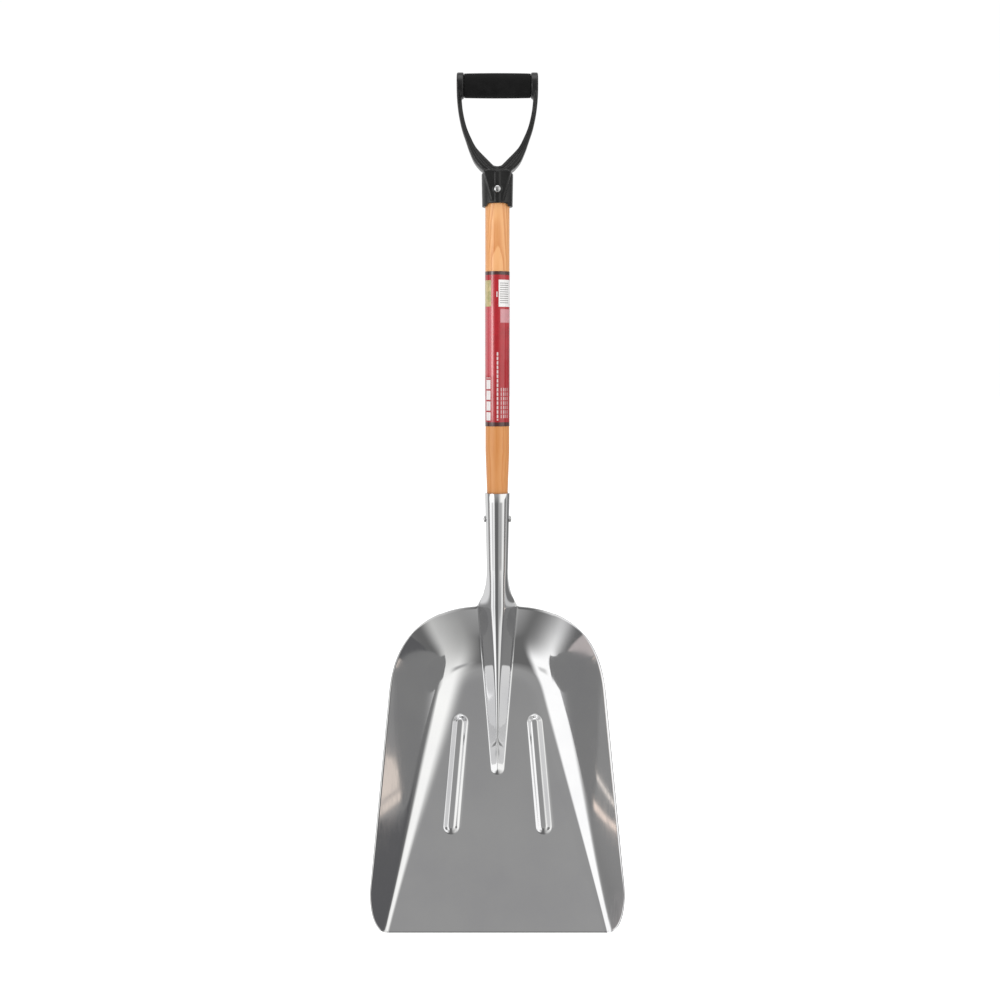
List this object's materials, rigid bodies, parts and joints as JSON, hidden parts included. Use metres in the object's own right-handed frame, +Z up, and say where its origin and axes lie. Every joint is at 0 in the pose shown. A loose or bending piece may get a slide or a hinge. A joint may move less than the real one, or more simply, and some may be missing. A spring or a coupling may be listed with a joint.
{
  "type": "grain scoop shovel",
  "caption": "D-grip grain scoop: deep pressed aluminium scoop with a ribbed flat floor and rolled socket, varnished wooden handle and black moulded grip.",
  "frame": {"origin": "the hang point: the underside of the grip bar, on the handle's axis, where a hook carries the shovel", "axes": "+Z up the handle towards the grip, -Y the way the scoop's hollow side faces, +X to the right seen from the hollow side"},
  "size_m": [0.3788, 0.1528, 1.2793],
  "materials": {
    "aluminium_sheet": "bright rolled sheet, lightly scratched",
    "varnished_wood": "straight grained ash, clear varnish",
    "label_film": "glossy printed film",
    "rivet_steel": "polished by handling",
    "moulded_black": "semi-gloss moulded",
    "sleeve_black": "matt, fine grained"
  },
  "bodies": {
    "root": {"scoop_blade": "aluminium_sheet", "wood_handle": "varnished_wood", "handle_label": "label_film", "socket_rivet": "rivet_steel", "collar_rivet": "rivet_steel", "grip_yoke": "moulded_black", "grip_sleeve": "sleeve_black"}
  },
  "joints": []
}
